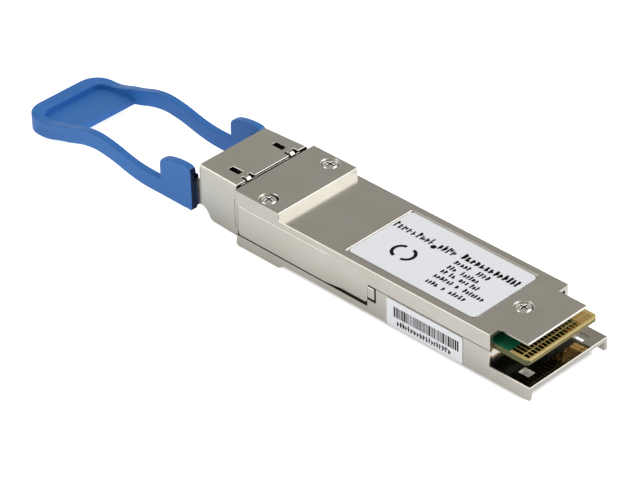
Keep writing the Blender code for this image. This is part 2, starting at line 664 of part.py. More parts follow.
def make_screw(name, x, y, top, finish):
    """A pan-head screw with a cross recess, its head sunk in the cover."""
    radius, rim = SCREW_HEAD_RADIUS, SCREW_HEAD_RADIUS - 0.25
    under = top - SCREW_HEAD_HEIGHT
    profile = [
        (1.5, 0.35), (1.9, SCREW_SHANK_RADIUS), (under, SCREW_SHANK_RADIUS), (under, radius),
        (top - 0.3, radius), (top - 0.08, rim), (top, rim * 0.55),
    ]
    screw = turned(name, profile, (x, y, 0.0), "Z", finish)
    for label, wide, deep in (("slot one", 0.95, 0.2), ("slot two", 0.2, 0.95)):
        cut(screw, box(f"{name} {label}", (x - wide, x + wide), (y - deep, y + deep), (top - 0.55, top + 1)))
    return screw


def make_labels(finish):
    (front, rear), (small, large), reach = LABEL_X, LABEL_CORNERS, LABEL_HALF_WIDTH
    top = [
        *arc((rear - large, large - reach), large, -90, 0, 4), *arc((rear - large, reach - large), large, 0, 90, 4),
        *arc((front + small, reach - small), small, 90, 180, 4), *arc((front + small, small - reach), small, 180, 270, 4),
    ]
    prism("top_label", top, "Z", HEIGHT - 0.19, HEIGHT - 0.05, finish)
    side = rounded_rectangle(SIDE_LABEL_X, SIDE_LABEL_Z, 0.5)
    prism("side_label", side, "Y", -HALF_WIDTH - 0.11, -HALF_WIDTH - 0.03, finish)


def build():
    clear_scene()
    nickel = material("satin nickel", (0.55, 0.53, 0.49), 0.32, 1.0)
    stamped = material("stamped steel", (0.62, 0.61, 0.57), 0.30, 1.0)
    spring_steel = material("spring steel", (0.70, 0.70, 0.70), 0.25, 1.0)
    blue = material("blue plastic", (0.06, 0.19, 0.50), 0.42)
    black = material("black plastic", (0.02, 0.02, 0.022), 0.5)
    gold = material("gold plate", (0.85, 0.62, 0.25), 0.25, 1.0)
    steel = material("stainless steel", (0.72, 0.72, 0.71), 0.22, 1.0)
    ceramic = material("white ceramic", (0.90, 0.90, 0.88), 0.3)
    polyimide = material("amber film", (0.62, 0.30, 0.06), 0.4)
    laminate = material("green laminate", (0.01, 0.16, 0.09), 0.4)
    package = material("chip package", (0.03, 0.03, 0.032), 0.6)
    ferrite = material("grey ferrite", (0.12, 0.12, 0.12), 0.6)
    pad = material("thermal pad", (0.45, 0.50, 0.62), 0.85)
    rubber = material("conductive rubber", (0.10, 0.10, 0.10), 0.8)
    paper = material("label stock", (0.90, 0.91, 0.93), 0.55)

    make_bottom_housing(nickel)
    make_top_cover(nickel)
    make_latch_slider(stamped)
    make_pull_tab(blue)
    make_receptacle(black)
    make_clamp(steel)
    optics_length = {"transmitter": 12.6, "receiver": 11.6}
    for kind, side in (("transmitter", -1), ("receiver", 1)):
        length = optics_length[kind]
        make_optics_box(f"{kind}_optics_box", side, length, gold)
        make_barrel(f"{kind}_barrel", side, steel)
        make_sleeve(f"{kind}_ferrule_sleeve", side, ceramic)
        make_flex(f"{kind}_flex", side, -28.5 + length + 0.05, polyimide)
    make_circuit_board(laminate)
    make_chips(package, pad, ferrite)
    for label, side in SIDES:
        make_return_spring(f"return_spring_{label}", side, spring_steel)
        make_gasket(f"gasket_{label}", side, rubber)
        make_screw(f"head_screw_{label}", HEAD_SCREW_X, side * HEAD_SCREW_Y, HEAD_HEIGHT - 0.02, steel)
    make_screw("tail_screw", TAIL_SCREW_X, 0.0, HEIGHT - 0.02, steel)
    make_labels(paper)


build()
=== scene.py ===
import math
import random

import bmesh
import bpy
from mathutils import Matrix, Vector


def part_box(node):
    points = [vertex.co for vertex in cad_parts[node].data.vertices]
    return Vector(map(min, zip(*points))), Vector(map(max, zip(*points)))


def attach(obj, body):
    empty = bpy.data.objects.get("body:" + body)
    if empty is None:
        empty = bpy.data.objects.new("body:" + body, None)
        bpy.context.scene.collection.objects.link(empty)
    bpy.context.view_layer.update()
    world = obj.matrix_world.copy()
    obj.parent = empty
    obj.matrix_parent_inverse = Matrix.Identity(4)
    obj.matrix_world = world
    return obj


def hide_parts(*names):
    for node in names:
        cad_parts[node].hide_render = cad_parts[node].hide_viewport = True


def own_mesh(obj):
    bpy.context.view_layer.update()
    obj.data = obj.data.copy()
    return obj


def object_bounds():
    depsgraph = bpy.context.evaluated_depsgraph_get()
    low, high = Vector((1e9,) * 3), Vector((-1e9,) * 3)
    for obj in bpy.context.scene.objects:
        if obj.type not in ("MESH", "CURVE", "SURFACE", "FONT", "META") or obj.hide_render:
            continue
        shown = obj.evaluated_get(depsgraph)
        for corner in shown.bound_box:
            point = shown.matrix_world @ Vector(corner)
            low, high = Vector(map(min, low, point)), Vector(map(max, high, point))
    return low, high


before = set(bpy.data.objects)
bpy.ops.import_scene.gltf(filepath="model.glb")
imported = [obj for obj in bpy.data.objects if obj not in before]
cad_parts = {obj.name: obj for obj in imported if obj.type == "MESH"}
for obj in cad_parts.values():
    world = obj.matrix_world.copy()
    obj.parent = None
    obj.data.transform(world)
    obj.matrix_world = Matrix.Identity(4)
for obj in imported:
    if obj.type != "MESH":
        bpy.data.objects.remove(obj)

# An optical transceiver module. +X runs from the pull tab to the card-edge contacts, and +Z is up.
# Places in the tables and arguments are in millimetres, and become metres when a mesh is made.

MM = 0.001
CAD_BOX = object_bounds()

# Labels and their print. A bite is how deep a thin layer sits in what carries it.
LABEL_TOP = 8.45
SIDE_LABEL_FACE = -9.285
INK_THICKNESS = 0.012
INK_BITE = 0.004

# The circuit board, where its mask ends, and the ends of each row of contacts along X.
BOARD_LOW = 5.45
BOARD_TOP = 6.45
MASK_END = 25.1
CONTACT_PITCH = 0.8
CONTACT_COUNT = 19
CONTACT_ROWS = ((MASK_END, 27.2), (27.42, 28.5))
PAD_BITE = 0.005

# Springs, measured to the middle of the coil.
SPRING_HEIGHT = 8.65
SPRING_SIDE = 5.03

# Spans of the metal body: the arm pockets' height, the gap behind the slider's shell, where the tongue
# and the contact plate stand clear, and the split between base and cover with its lower and upper face.
POCKET_LOW = 1.2
POCKET_TOP = 7.3
SHELL_GAP = (-33.9, -33.5)
CARD_SPACE = 21.6
SPLIT = (5.3, 5.6)
SPLIT_LOW = (5.38, 5.42)
SPLIT_HIGH = (5.5, 5.54)

# Faces that meet at less than this many degrees shade as one.
SMOOTH_ANGLE = 32.0


# ---------------------------------------------------------------- shader node helpers


def wire(tree, value, socket):
    """Links an output to a socket, or sets the socket to a constant."""
    if isinstance(value, bpy.types.NodeSocket):
        tree.links.new(value, socket)
    elif socket.type == "RGBA":
        socket.default_value = (*value[:3], 1.0)
    else:
        socket.default_value = value


def add_node(tree, kind, inputs, **settings):
    node = tree.nodes.new(kind)
    for key, value in settings.items():
        setattr(node, key, value)
    for key, value in inputs.items():
        wire(tree, value, node.inputs[key])
    return node


def calculate(tree, operation, first, second=0.0):
    return add_node(tree, "ShaderNodeMath", {0: first, 1: second}, operation=operation).outputs[0]


def spread(tree, value, low, high, out_low=0.0, out_high=1.0):
    """Maps a value from one range to another, held at both ends."""
    inputs = {"Value": value, "From Min": low, "From Max": high, "To Min": out_low, "To Max": out_high}
    return add_node(tree, "ShaderNodeMapRange", inputs, clamp=True).outputs[0]


def place_on_object(tree):
    return tree.nodes.new("ShaderNodeTexCoord").outputs["Object"]


def noise(tree, place, size, detail=2.0, roughness=0.5):
    """Even noise whose features are about size millimetres across."""
    inputs = {"Vector": place, "Scale": 1 / (size * MM), "Detail": detail, "Roughness": roughness}
    return add_node(tree, "ShaderNodeTexNoise", inputs).outputs[0]


def blend_colors(tree, amount, first, second):
    node = tree.nodes.new("ShaderNodeMix")
    node.data_type = "RGBA"
    wire(tree, amount, node.inputs[0])
    wire(tree, first, node.inputs[6])
    wire(tree, second, node.inputs[7])
    return node.outputs[2]


def start_group(name, inputs, outputs):
    tree = bpy.data.node_groups.new(name, "ShaderNodeTree")
    for label, value in inputs.items():
        tree.interface.new_socket(label, in_out="INPUT", socket_type="NodeSocketFloat").default_value = value
    for label in outputs:
        tree.interface.new_socket(label, in_out="OUTPUT", socket_type="NodeSocketFloat")
    return tree, tree.nodes.new("NodeGroupInput").outputs, tree.nodes.new("NodeGroupOutput").inputs


def use_group(tree, group, inputs):
    node = tree.nodes.new("ShaderNodeGroup")
    node.node_tree = group
    for key, value in inputs.items():
        wire(tree, value, node.inputs[key])
    return node.outputs


def build_metal_grain():
    """Fine blasted grain, broad shade drift and faint handling smudges on plated metal."""
    tree, given, result = start_group(
        "metal grain", {"Grain Scale": 4000.0, "Smudge Amount": 1.0}, ("Shade", "Polish", "Height"))
    place = place_on_object(tree)
    inputs = {"Vector": place, "Scale": given["Grain Scale"], "Detail": 3.0, "Roughness": 0.6}
    grain = add_node(tree, "ShaderNodeTexNoise", inputs).outputs[0]
    drift = noise(tree, place, 9.0, 3.0)
    smudge = spread(tree, noise(tree, place, 3.2, 5.0, 0.62), 0.45, 0.68)
    broad = calculate(tree, "MULTIPLY", drift, 0.6)
    fine = calculate(tree, "MULTIPLY", grain, 0.4)
    wire(tree, calculate(tree, "ADD", broad, fine), result["Shade"])
    wire(tree, calculate(tree, "MULTIPLY", smudge, given["Smudge Amount"]), result["Polish"])
    wire(tree, grain, result["Height"])
    return tree


def build_moulded_texture():
    """Spark-eroded mould texture for plastics and moulded epoxy."""
    tree, given, result = start_group("moulded texture", {"Texture Scale": 5000.0}, ("Shade", "Height"))
    place = place_on_object(tree)
    inputs = {"Vector": place, "Scale": given["Texture Scale"], "Detail": 2.0, "Roughness": 0.55}
    bumps = add_node(tree, "ShaderNodeTexNoise", inputs).outputs[0]
    drift = noise(tree, place, 7.0, 3.0)
    fine = calculate(tree, "MULTIPLY", bumps, 0.35)
    broad = calculate(tree, "MULTIPLY", drift, 0.65)
    wire(tree, calculate(tree, "ADD", fine, broad), result["Shade"])
    wire(tree, spread(tree, bumps, 0.35, 0.65), result["Height"])
    return tree


def build_glass_weave():
    """The crossed bundles of glass fibre in a laminate."""
    tree, given, result = start_group("glass weave", {"Bundle Scale": 1900.0}, ("Weave",))
    place = place_on_object(tree)
    waves = []
    for direction in ("X", "Y"):
        inputs = {"Vector": place, "Scale": given["Bundle Scale"], "Distortion": 0.6, "Detail": 1.0}
        wave = add_node(tree, "ShaderNodeTexWave", inputs, wave_type="BANDS", bands_direction=direction)
        waves.append(wave.outputs[1])
    wire(tree, calculate(tree, "MAXIMUM", *waves), result["Weave"])
    return tree


METAL_GRAIN = build_metal_grain()
MOULDED_TEXTURE = build_moulded_texture()
GLASS_WEAVE = build_glass_weave()


# ---------------------------------------------------------------- materials


def start_material(name, metallic=0.0):
    made = bpy.data.materials.new(name)
    made.use_nodes = True
    tree = made.node_tree
    shader = tree.nodes["Principled BSDF"]
    shader.inputs["Metallic"].default_value = metallic
    return made, tree, shader


def raise_bumps(tree, shader, height, strength, depth):
    """Drives the shader's normal from a height, with the depth in millimetres."""
    inputs = {"Height": height, "Strength": strength, "Distance": depth * MM}
    wire(tree, add_node(tree, "ShaderNodeBump", inputs).outputs[0], shader.inputs["Normal"])


def metal(name, dark, light, roughness, grain_size=0.16, depth=0.004, strength=0.5, smudge=0.5):
    """Plated or bare metal, between two colours and two roughness values."""
    made, tree, shader = start_material(name, metallic=1.0)
    grain = use_group(tree, METAL_GRAIN, {"Grain Scale": 1 / (grain_size * MM), "Smudge Amount": smudge})
    amount = spread(tree, grain["Shade"], 0.3, 0.7)
    wire(tree, blend_colors(tree, amount, dark, light), shader.inputs["Base Color"])
    wire(tree, spread(tree, grain["Polish"], 0.0, 1.0, *roughness), shader.inputs["Roughness"])
    raise_bumps(tree, shader, grain["Height"], strength, depth)
    return made


def plastic(name, dark, light, roughness, texture_size=0.18, depth=0.01, strength=0.4, shine=0.5):
    """Moulded plastic or epoxy with a fine texture."""
    made, tree, shader = start_material(name)
    shader.inputs["Specular IOR Level"].default_value = shine
    texture = use_group(tree, MOULDED_TEXTURE, {"Texture Scale": 1 / (texture_size * MM)})
    amount = spread(tree, texture["Shade"], 0.35, 0.65)
    wire(tree, blend_colors(tree, amount, dark, light), shader.inputs["Base Color"])
    wire(tree, spread(tree, texture["Shade"], 0.3, 0.7, *roughness), shader.inputs["Roughness"])
    raise_bumps(tree, shader, texture["Height"], strength, depth)
    return made


def laminate(name, dark, light, roughness, coat=0.0):
    """Glass-fibre board, bare or under a coat of mask."""
    made, tree, shader = start_material(name)
    weave = use_group(tree, GLASS_WEAVE, {})["Weave"]
    drift = noise(tree, place_on_object(tree), 2.5, 3.0)
    amount = calculate(tree, "MULTIPLY", weave, drift)
    wire(tree, blend_colors(tree, amount, dark, light), shader.inputs["Base Color"])
    wire(tree, spread(tree, drift, 0.3, 0.7, *roughness), shader.inputs["Roughness"])
    raise_bumps(tree, shader, weave, 0.25, 0.01)
    shader.inputs["Coat Weight"].default_value = coat
    shader.inputs["Coat Roughness"].default_value = 0.12
    return made


def label_stock(name):
    """White polyester film with faint unevenness from the glue under it."""
    made, tree, shader = start_material(name)
    place = place_on_object(tree)
    drift = noise(tree, place, 4.0, 3.0)
    fleck = noise(tree, place, 0.12, 1.0)
    wire(tree, blend_colors(tree, fleck, (0.88, 0.91, 0.97), (0.93, 0.95, 1.0)), shader.inputs["Base Color"])
    wire(tree, spread(tree, drift, 0.3, 0.7, 0.38, 0.5), shader.inputs["Roughness"])
    raise_bumps(tree, shader, drift, 0.2, 0.03)
    return made


def print_ink(name, color):
    """Matt print with faint blots."""
    made, tree, shader = start_material(name)
    blot = noise(tree, place_on_object(tree), 0.25, 3.0)
    lighter = tuple(value * 2.2 for value in color)
    amount = spread(tree, blot, 0.4, 0.75)
    wire(tree, blend_colors(tree, amount, color, lighter), shader.inputs["Base Color"])
    wire(tree, spread(tree, blot, 0.3, 0.7, 0.6, 0.75), shader.inputs["Roughness"])
    shader.inputs["Specular IOR Level"].default_value = 0.1
    return made


FINISHES = {
    "satin nickel": metal("satin nickel", (0.56, 0.54, 0.49), (0.65, 0.63, 0.58), (0.23, 0.18), 0.26, 0.004),
    "polished nickel": metal(
        "polished nickel", (0.42, 0.39, 0.34), (0.50, 0.47, 0.41), (0.08, 0.11), 0.4, 0.001, 0.2),
    # A dark copy of the nickel: painted shade for gaps, pockets and recesses, where the real metal lies in
    # shadow.
    "shaded nickel": metal("shaded nickel", (0.014, 0.013, 0.011), (0.032, 0.03, 0.026), (0.45, 0.38)),
    "stamped steel": metal("stamped steel", (0.58, 0.57, 0.51), (0.66, 0.65, 0.60), (0.25, 0.20), 0.2),
    "screw steel": metal("screw steel", (0.72, 0.71, 0.68), (0.82, 0.81, 0.78), (0.12, 0.18), 0.12),
    "spring steel": metal("spring steel", (0.66, 0.66, 0.66), (0.78, 0.78, 0.77), (0.18, 0.25), 0.1),
    "stainless steel": metal("stainless steel", (0.64, 0.64, 0.63), (0.74, 0.74, 0.73), (0.2, 0.3), 0.1),
    "gold plate": metal("gold plate", (0.78, 0.53, 0.20), (0.88, 0.66, 0.30), (0.2, 0.32), 0.12),
    "contact gold": metal(
        "contact gold", (0.70, 0.43, 0.14), (0.80, 0.53, 0.20), (0.06, 0.11), 0.1, 0.001, 0.2),
    "blue plastic": plastic(
        "blue plastic", (0.03, 0.16, 0.495), (0.04, 0.185, 0.55), (0.36, 0.48), shine=0.3),
    # A dark copy of the blue plastic: painted shade.
    "shaded blue": plastic("shaded blue", (0.002, 0.01, 0.05), (0.004, 0.016, 0.07), (0.45, 0.6), shine=0.3),
    "black plastic": plastic("black plastic", (0.012, 0.012, 0.014), (0.03, 0.03, 0.033), (0.4, 0.55)),
    "chip package": plastic(
        "chip package", (0.016, 0.016, 0.018), (0.035, 0.035, 0.036), (0.5, 0.65), 0.06, 0.004),
    "grey ferrite": plastic("grey ferrite", (0.06, 0.06, 0.06), (0.14, 0.14, 0.14), (0.5, 0.7), 0.05, 0.01),
    "thermal pad": plastic("thermal pad", (0.36, 0.41, 0.55), (0.50, 0.55, 0.66), (0.75, 0.9), 0.2, 0.02),
    "conductive rubber": plastic(
        "conductive rubber", (0.06, 0.06, 0.06), (0.13, 0.13, 0.13), (0.7, 0.85), 0.1),
    "white ceramic": plastic(
        "white ceramic", (0.84, 0.84, 0.80), (0.92, 0.92, 0.90), (0.16, 0.24), 0.3, 0.001),
    "amber film": plastic("amber film", (0.42, 0.17, 0.03), (0.62, 0.30, 0.06), (0.3, 0.42), 0.4, 0.004),
    "green mask": laminate("green mask", (0.004, 0.12, 0.06), (0.012, 0.2, 0.1), (0.28, 0.4), coat=0.5),
    # A dark copy of the mask: painted shade.
    "shaded mask": laminate("shaded mask", (0.003, 0.01, 0.006), (0.006, 0.018, 0.01), (0.4, 0.5)),
    "bare laminate": laminate("bare laminate", (0.50, 0.38, 0.12), (0.68, 0.55, 0.24), (0.45, 0.6)),
    "cut laminate": laminate("cut laminate", (0.15, 0.12, 0.04), (0.28, 0.23, 0.09), (0.6, 0.8)),
    "cut edge and shaded underside": laminate("cut edge and shaded underside", (0.08, 0.085, 0.03), (0.15, 0.15, 0.055), (0.6, 0.8)),
    "label stock": label_stock("label stock"),
    "black ink": print_ink("black ink", (0.004, 0.004, 0.005)),
}


# ---------------------------------------------------------------- mesh helpers


def settle_shading(piece):
    """Keeps large flat faces flat beside their rounded edges."""
    step = piece.modifiers.new("settled shading", "WEIGHTED_NORMAL")
    step.keep_sharp = True


def add_piece(name, shape, finish, body="housing", replaced=(), smooth_angle=SMOOTH_ANGLE):
    """Turns mesh data into an object that rides on a body, with its material."""
    mesh = bpy.data.meshes.new(name)
    shape.to_mesh(mesh)
    shape.free()
    piece = bpy.data.objects.new(name, mesh)
    bpy.context.scene.collection.objects.link(piece)
    mesh.materials.append(FINISHES[finish])
    mesh.shade_smooth()
    mesh.set_sharp_from_angle(angle=math.radians(smooth_angle))
    settle_shading(piece)
    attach(piece, body)
    if replaced:
        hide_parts(*replaced)
    return piece


def joined_copy(node):
    """A CAD solid's shape with its doubled points merged and its flat faces made whole."""
    shape = bmesh.new()
    shape.from_mesh(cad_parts[node].data)
    bmesh.ops.remove_doubles(shape, verts=shape.verts, dist=2e-7)
    bmesh.ops.dissolve_limit(
        shape, angle_limit=math.radians(0.4), use_dissolve_boundaries=False,
        verts=shape.verts, edges=shape.edges)
    return shape


def round_edges(shape, width, segments=2, sharper_than=38.0, skip=None):
    """Rounds the outward edges that are sharper than an angle, apart from those that a test skips."""
    chosen = []
    for edge in shape.edges:
        if len(edge.link_faces) != 2:
            continue
        if math.degrees(edge.calc_face_angle_signed(0.0)) < sharper_than:
            continue
        if skip and skip((edge.verts[0].co + edge.verts[1].co) / (2 * MM)):
            continue
        chosen.append(edge)
    bmesh.ops.bevel(
        shape, geom=chosen, offset=width * MM, offset_type="OFFSET", segments=segments, profile=0.5,
        affect="EDGES", clamp_overlap=False, loop_slide=True)


def soften_node(node, finish, width, segments=2, body="housing", smooth_angle=SMOOTH_ANGLE, **choices):
    """Replaces a CAD node with the same shape, its outward edges rounded."""
    shape = joined_copy(node)
    round_edges(shape, width, segments, **choices)
    return add_piece(f"{node}_shape", shape, finish, body, replaced=(node,), smooth_angle=smooth_angle)


def paint_faces(piece, finish, chosen):
    """Gives another finish to the faces whose centre and normal pass a test, in millimetres."""
    piece.data.materials.append(FINISHES[finish])
    index = len(piece.data.materials) - 1
    for face in piece.data.polygons:
        if chosen(face.center / MM, face.normal):
            face.material_index = index


def add_plate(shape, outline, low, high, axis="Z"):
    """Extrudes a flat outline along an axis from low to high, into the given mesh data."""
    def corner(first, second, along):
        ordered = {"X": (along, first, second), "Y": (first, along, second), "Z": (first, second, along)}
        return shape.verts.new([value * MM for value in ordered[axis]])
    bottom = [corner(*point, low) for point in outline]
    top = [corner(*point, high) for point in outline]
    faces = [shape.faces.new(bottom[::-1]), shape.faces.new(top)]
    for index in range(len(outline)):
        after = (index + 1) % len(outline)
        faces.append(shape.faces.new((bottom[index], bottom[after], top[after], top[index])))
    bmesh.ops.recalc_face_normals(shape, faces=faces)
    return faces


def within(value, span):
    """Whether a value lies between the two ends of a span."""
    return span[0] < value < span[1]


def rectangle(x, y):
    return [(x[0], y[0]), (x[1], y[0]), (x[1], y[1]), (x[0], y[1])]


def rounded(x, y, radius, steps=2):
    """A rectangle with round corners."""
    points = []
    corners = ((x[1], y[0], -90), (x[1], y[1], 0), (x[0], y[1], 90), (x[0], y[0], 180))
    for corner_x, corner_y, start in corners:
        centre_x = corner_x - math.copysign(radius, corner_x - sum(x) / 2)
        centre_y = corner_y - math.copysign(radius, corner_y - sum(y) / 2)
        for step in range(steps + 1):
            angle = math.radians(start + 90 * step / steps)
            points.append((centre_x + radius * math.cos(angle), centre_y + radius * math.sin(angle)))
    return points


def close_rows(shape, rows):
    """Joins rings of points, each to the next, and closes both ends."""
    faces = [shape.faces.new(rows[0]), shape.faces.new(rows[-1])]
    sides = len(rows[0])
    for this_row, next_row in zip(rows, rows[1:]):
        for side in range(sides):
            after = (side + 1) % sides
            faces.append(shape.faces.new((this_row[side], this_row[after], next_row[after], next_row[side])))
    bmesh.ops.recalc_face_normals(shape, faces=faces)


def circle(centre, radius, sides=24):
    angles = [2 * math.pi * side / sides for side in range(sides)]
    return [(centre[0] + radius * math.cos(angle), centre[1] + radius * math.sin(angle)) for angle in angles]


def add_turned(shape, profile, centre, sides=56):
    """An upright round solid, from (height, radius) pairs."""
    rows = []
    for height, radius in profile:
        ring = circle(centre, radius, sides)
        rows.append([shape.verts.new((x * MM, y * MM, height * MM)) for x, y in ring])
    close_rows(shape, rows)


def add_tube(shape, path, radius, sides=10):
    """A closed wire along a path of points in millimetres."""
    points = [Vector(point) * MM for point in path]
    rows = []
    side_way = Vector((0, 0, 1))
    for index, point in enumerate(points):
        ahead = (points[min(index + 1, len(points) - 1)] - points[max(index - 1, 0)]).normalized()
        side_way = (side_way - ahead * side_way.dot(ahead)).normalized()
        across = ahead.cross(side_way)
        row = []
        for side in range(sides):
            angle = 2 * math.pi * side / sides
            outward = side_way * math.cos(angle) + across * math.sin(angle)
            row.append(shape.verts.new(point + outward * (radius * MM)))
        rows.append(row)
    close_rows(shape, rows)


def cut_shape(piece, cutter_shape):
    """Cuts one piece by mesh data, and keeps the result as plain mesh."""
    cutter_mesh = bpy.data.meshes.new("cutter")
    cutter_shape.to_mesh(cutter_mesh)
    cutter_shape.free()
    cutter = bpy.data.objects.new("cutter", cutter_mesh)
    bpy.context.scene.collection.objects.link(cutter)
    step = piece.modifiers.new("cut", "BOOLEAN")
    step.object = cutter
    step.solver = "EXACT"
    bpy.context.view_layer.update()
    graph = bpy.context.evaluated_depsgraph_get()
    result = bpy.data.meshes.new_from_object(piece.evaluated_get(graph))
    piece.modifiers.clear()
    piece.data = result
    bpy.data.objects.remove(cutter)
    result.shade_smooth()
    result.set_sharp_from_angle(angle=math.radians(SMOOTH_ANGLE))
    settle_shading(piece)


# ---------------------------------------------------------------- the metal body


def beside_seam(middle):
    """Edges along the split line, the arm pockets' mouths and the gap behind the shell, which stay crisp."""
    at_edge = within(middle.z, (POCKET_LOW, 1.36)) or within(middle.z, (7.12, POCKET_TOP))
    pocket_mouth = abs(middle.y) > 9.1 and at_edge
    behind_shell = within(middle.x, SHELL_GAP) and middle.z > 9.0 and abs(middle.y) < 9.0
    return within(middle.z, SPLIT) or pocket_mouth or behind_shell


def inside_pocket(centre, normal):
    """The faces of the arm pockets, painted dark as painted shade in the gaps beside the arms."""
    across = within(centre.x, (-33.6, -2.0)) and within(abs(centre.y), (7.8, 9.12))
    return across and within(centre.z, (POCKET_LOW, POCKET_TOP))


def make_bottom_housing():
    piece = soften_node("bottom_housing", "satin nickel", 0.1, 1, skip=beside_seam)

    def contact_plate_top(centre, normal):
        return centre.x > CARD_SPACE and normal.z > 0.9 and within(centre.z, (2.3, 2.7))

    # Painted shade: the face along the split is painted dark, so the seam reads as a dark line.
    def split_face(centre, normal):
        return normal.z > 0.9 and within(centre.z, SPLIT_LOW)
    paint_faces(piece, "polished nickel", contact_plate_top)
    for chosen in (inside_pocket, split_face):
        paint_faces(piece, "shaded nickel", chosen)


def make_top_cover():
    piece = soften_node("top_cover", "satin nickel", 0.1, 1, skip=beside_seam)

    def under_tongue(centre, normal):
        return centre.x > CARD_SPACE and normal.z < -0.9 and within(centre.z, (8.0, 8.2))

    # Painted shade: the groove behind the shell and the spring pockets are painted dark.
    def behind_shell(centre, normal):
        groove = within(centre.x, (-34.8, -33.65)) and centre.z < 9.86 and normal.x < 0.1
        spring_pocket = within(centre.x, (-41.2, -33.5)) and within(abs(centre.y), (4.3, 5.8))
        return (groove or spring_pocket) and centre.z > 7.9

    # Painted shade: the face along the split is painted dark, so the seam reads as a dark line.
    def split_face(centre, normal):
        return normal.z < -0.9 and within(centre.z, SPLIT_HIGH)
    paint_faces(piece, "polished nickel", under_tongue)
    for chosen in (inside_pocket, behind_shell, split_face):
        paint_faces(piece, "shaded nickel", chosen)


def make_latch_slider():
    piece = soften_node("latch_slider", "stamped steel", 0.07, 1, body="slider", smooth_angle=24.0)

    # Painted shade: the rear end face of the shell is painted dark, so the gap behind it reads black.
    def sheet_end(centre, normal):
        return within(centre.x, (-34.9, -33.9)) and normal.x > 0.9 and abs(centre.y) < 8.6
    paint_faces(piece, "shaded nickel", sheet_end)


def make_screw(node):
    """A pan-head screw with a cross recess."""
    low, high = (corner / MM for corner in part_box(node))
    x, y, top = (low.x + high.x) / 2, (low.y + high.y) / 2, high.z
    head, shank, under = 1.4, 0.7, top - 0.8
    profile = [
        (low.z, 0.35), (low.z + 0.4, shank), (under, shank), (under, head - 0.05), (under + 0.05, head),
        (top - 0.5, head), (top - 0.38, head - 0.04), (top - 0.26, head - 0.13), (top - 0.15, head - 0.28),
        (top - 0.07, head - 0.5), (top - 0.02, head - 0.8), (top, head - 1.1),
    ]
    shape = bmesh.new()
    add_turned(shape, profile, (x, y))
    piece = add_piece(
        f"{node}_shape", shape, "screw steel", replaced=(node,), smooth_angle=40.0)
    cutter = bmesh.new()
    rows = []
    recess = ((top + 0.1, 0.86, 0.2), (top - 0.12, 0.78, 0.17), (top - 0.6, 0.4, 0.13))
    for height, length, half in recess:
        cross = ((half, -length), (half, -half), (length, -half))
        corners = [*cross, *((a, -b) for a, b in reversed(cross))]
        corners += [(-a, -b) for a, b in corners]
        rows.append([cutter.verts.new(((x + a) * MM, (y + b) * MM, height * MM)) for a, b in corners])
    close_rows(cutter, rows)
    cut_shape(piece, cutter)

    # Painted shade: the faces inside the cross recess are painted dark.
    def in_recess(centre, normal):
        return math.hypot(centre.x - x, centre.y - y) < 0.85 and centre.z < top - 0.1 and under < centre.z
    paint_faces(piece, "shaded nickel", in_recess)


def make_return_spring(label, side):
    """A coil with closed, flattened end turns."""
    start, end, coil, wire_radius = -40.94, -34.76, 0.46, 0.11
    turns, steps = 8, 26
    path = []
    for index in range(turns * steps + 1):
        share = index / (turns * steps)
        eased = min(max((share - 0.09) / 0.82, 0.0), 1.0)
        along = start + wire_radius + (end - start - 2 * wire_radius) * (0.06 * share + 0.94 * eased)
        angle = 2 * math.pi * turns * share
        across, up = coil * math.cos(angle), coil * math.sin(angle)
        path.append((along, side * SPRING_SIDE + across, SPRING_HEIGHT + up))
    shape = bmesh.new()
    add_tube(shape, path, wire_radius)
    node = f"return_spring_{label}"
    piece = add_piece(f"{node}_coil", shape, "spring steel", replaced=(node,), smooth_angle=60)
    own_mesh(piece)


# ---------------------------------------------------------------- the pull tab


def make_pull_tab():
    piece = soften_node("pull_tab", "blue plastic", 0.18, segments=3, body="slider", sharper_than=45.0)

    # Painted shade: the lug faces that look toward the shell are painted dark blue.
    def lug_rear(centre, normal):
        return centre.x > -45.2 and normal.x > 0.9
    paint_faces(piece, "shaded blue", lug_rear)


# ---------------------------------------------------------------- the circuit board and its contacts


def add_contacts(shape, low, high):
    """Two rows of contacts across the card edge."""
    half = 0.31
    for index in range(CONTACT_COUNT):
        y = (index - (CONTACT_COUNT - 1) / 2) * CONTACT_PITCH
        for front, rear in CONTACT_ROWS:
            add_plate(shape, rounded((front, rear), (y - half, y + half), 0.06), low, high)


def make_circuit_board():
    shape = joined_copy("circuit_board")
    round_edges(shape, 0.03, 1)
    core = add_piece(
        "circuit_board_core", shape, "bare laminate", replaced=("circuit_board",))

    def end_face(centre, normal):
        return normal.x > 0.9 and centre.x > 28.5

    # The cut sides take the colour of a cut edge; the underside takes the same dark colour as painted shade.
    def sides_and_shaded_underside(centre, normal):
        return abs(normal.y) > 0.6 or normal.z < -0.6
    paint_faces(core, "cut laminate", end_face)
    paint_faces(core, "cut edge and shaded underside", sides_and_shaded_underside)
    mask = bmesh.new()
    outline = [(-12.95, -7.25), (15.0, -7.25), (15.0, -8.15), (MASK_END, -8.15)]
    outline += [(x, -y) for x, y in reversed(outline)]
    add_plate(mask, outline, BOARD_TOP - PAD_BITE, BOARD_TOP + 0.02)
    add_plate(mask, outline, BOARD_LOW - 0.02, BOARD_LOW + PAD_BITE)
    coat = add_piece("solder_mask", mask, "green mask")

    # Painted shade: the mask's underside is painted near black, as it lies in shadow over the contact plate.
    def under_side(centre, normal):
        return centre.z < BOARD_LOW + 0.05
    paint_faces(coat, "shaded mask", under_side)
    pads = bmesh.new()
    add_contacts(pads, BOARD_TOP - PAD_BITE, BOARD_TOP + 0.035)
    add_contacts(pads, BOARD_LOW - 0.035, BOARD_LOW + PAD_BITE)
    add_piece("edge_contacts", pads, "contact gold")


# ---------------------------------------------------------------- labels


